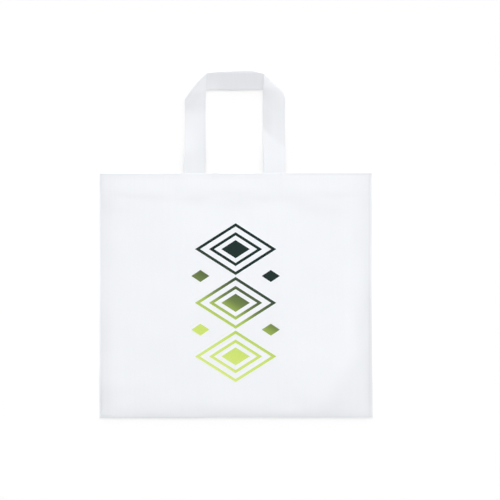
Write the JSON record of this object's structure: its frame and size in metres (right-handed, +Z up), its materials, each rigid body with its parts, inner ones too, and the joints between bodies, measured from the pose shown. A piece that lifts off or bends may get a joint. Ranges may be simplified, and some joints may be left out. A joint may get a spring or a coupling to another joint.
{
  "type": "film carrier bag",
  "caption": "Empty white film carrier bag lying flat, with a tucked bottom gusset, a turned-in hem at the mouth and two flat strip loop handles folded at their corners.",
  "frame": {"origin": "on the surface the bag lies on, under the middle of its outline with the handles", "axes": "+X across the bag, +Y from the bottom fold towards the handles, +Z up out of the printed front panel"},
  "size_m": [0.45, 0.5771, 0.0126],
  "materials": {
    "film": "opaque white polyethylene film, satin, faintly wrinkled",
    "ink_top": "dark green ink, satin",
    "ink_upper": "dark green ink, satin",
    "ink_middle": "grey green ink, satin",
    "ink_lower": "yellow green ink, satin",
    "ink_bottom": "lime ink, satin"
  },
  "bodies": {
    "root": {"bag_body": "film", "front_handle": "film", "back_handle": "film", "print_top_outer_ring": "ink_top", "print_top_inner_ring": "ink_top", "print_top_core": "ink_top", "print_middle_outer_ring": "ink_middle", "print_middle_inner_ring": "ink_middle", "print_middle_core": "ink_middle", "print_bottom_outer_ring": "ink_bottom", "print_bottom_inner_ring": "ink_bottom", "print_bottom_core": "ink_bottom", "print_dot_upper_left": "ink_upper", "print_dot_upper_right": "ink_upper", "print_dot_lower_left": "ink_lower", "print_dot_lower_right": "ink_lower"}
  },
  "joints": []
}
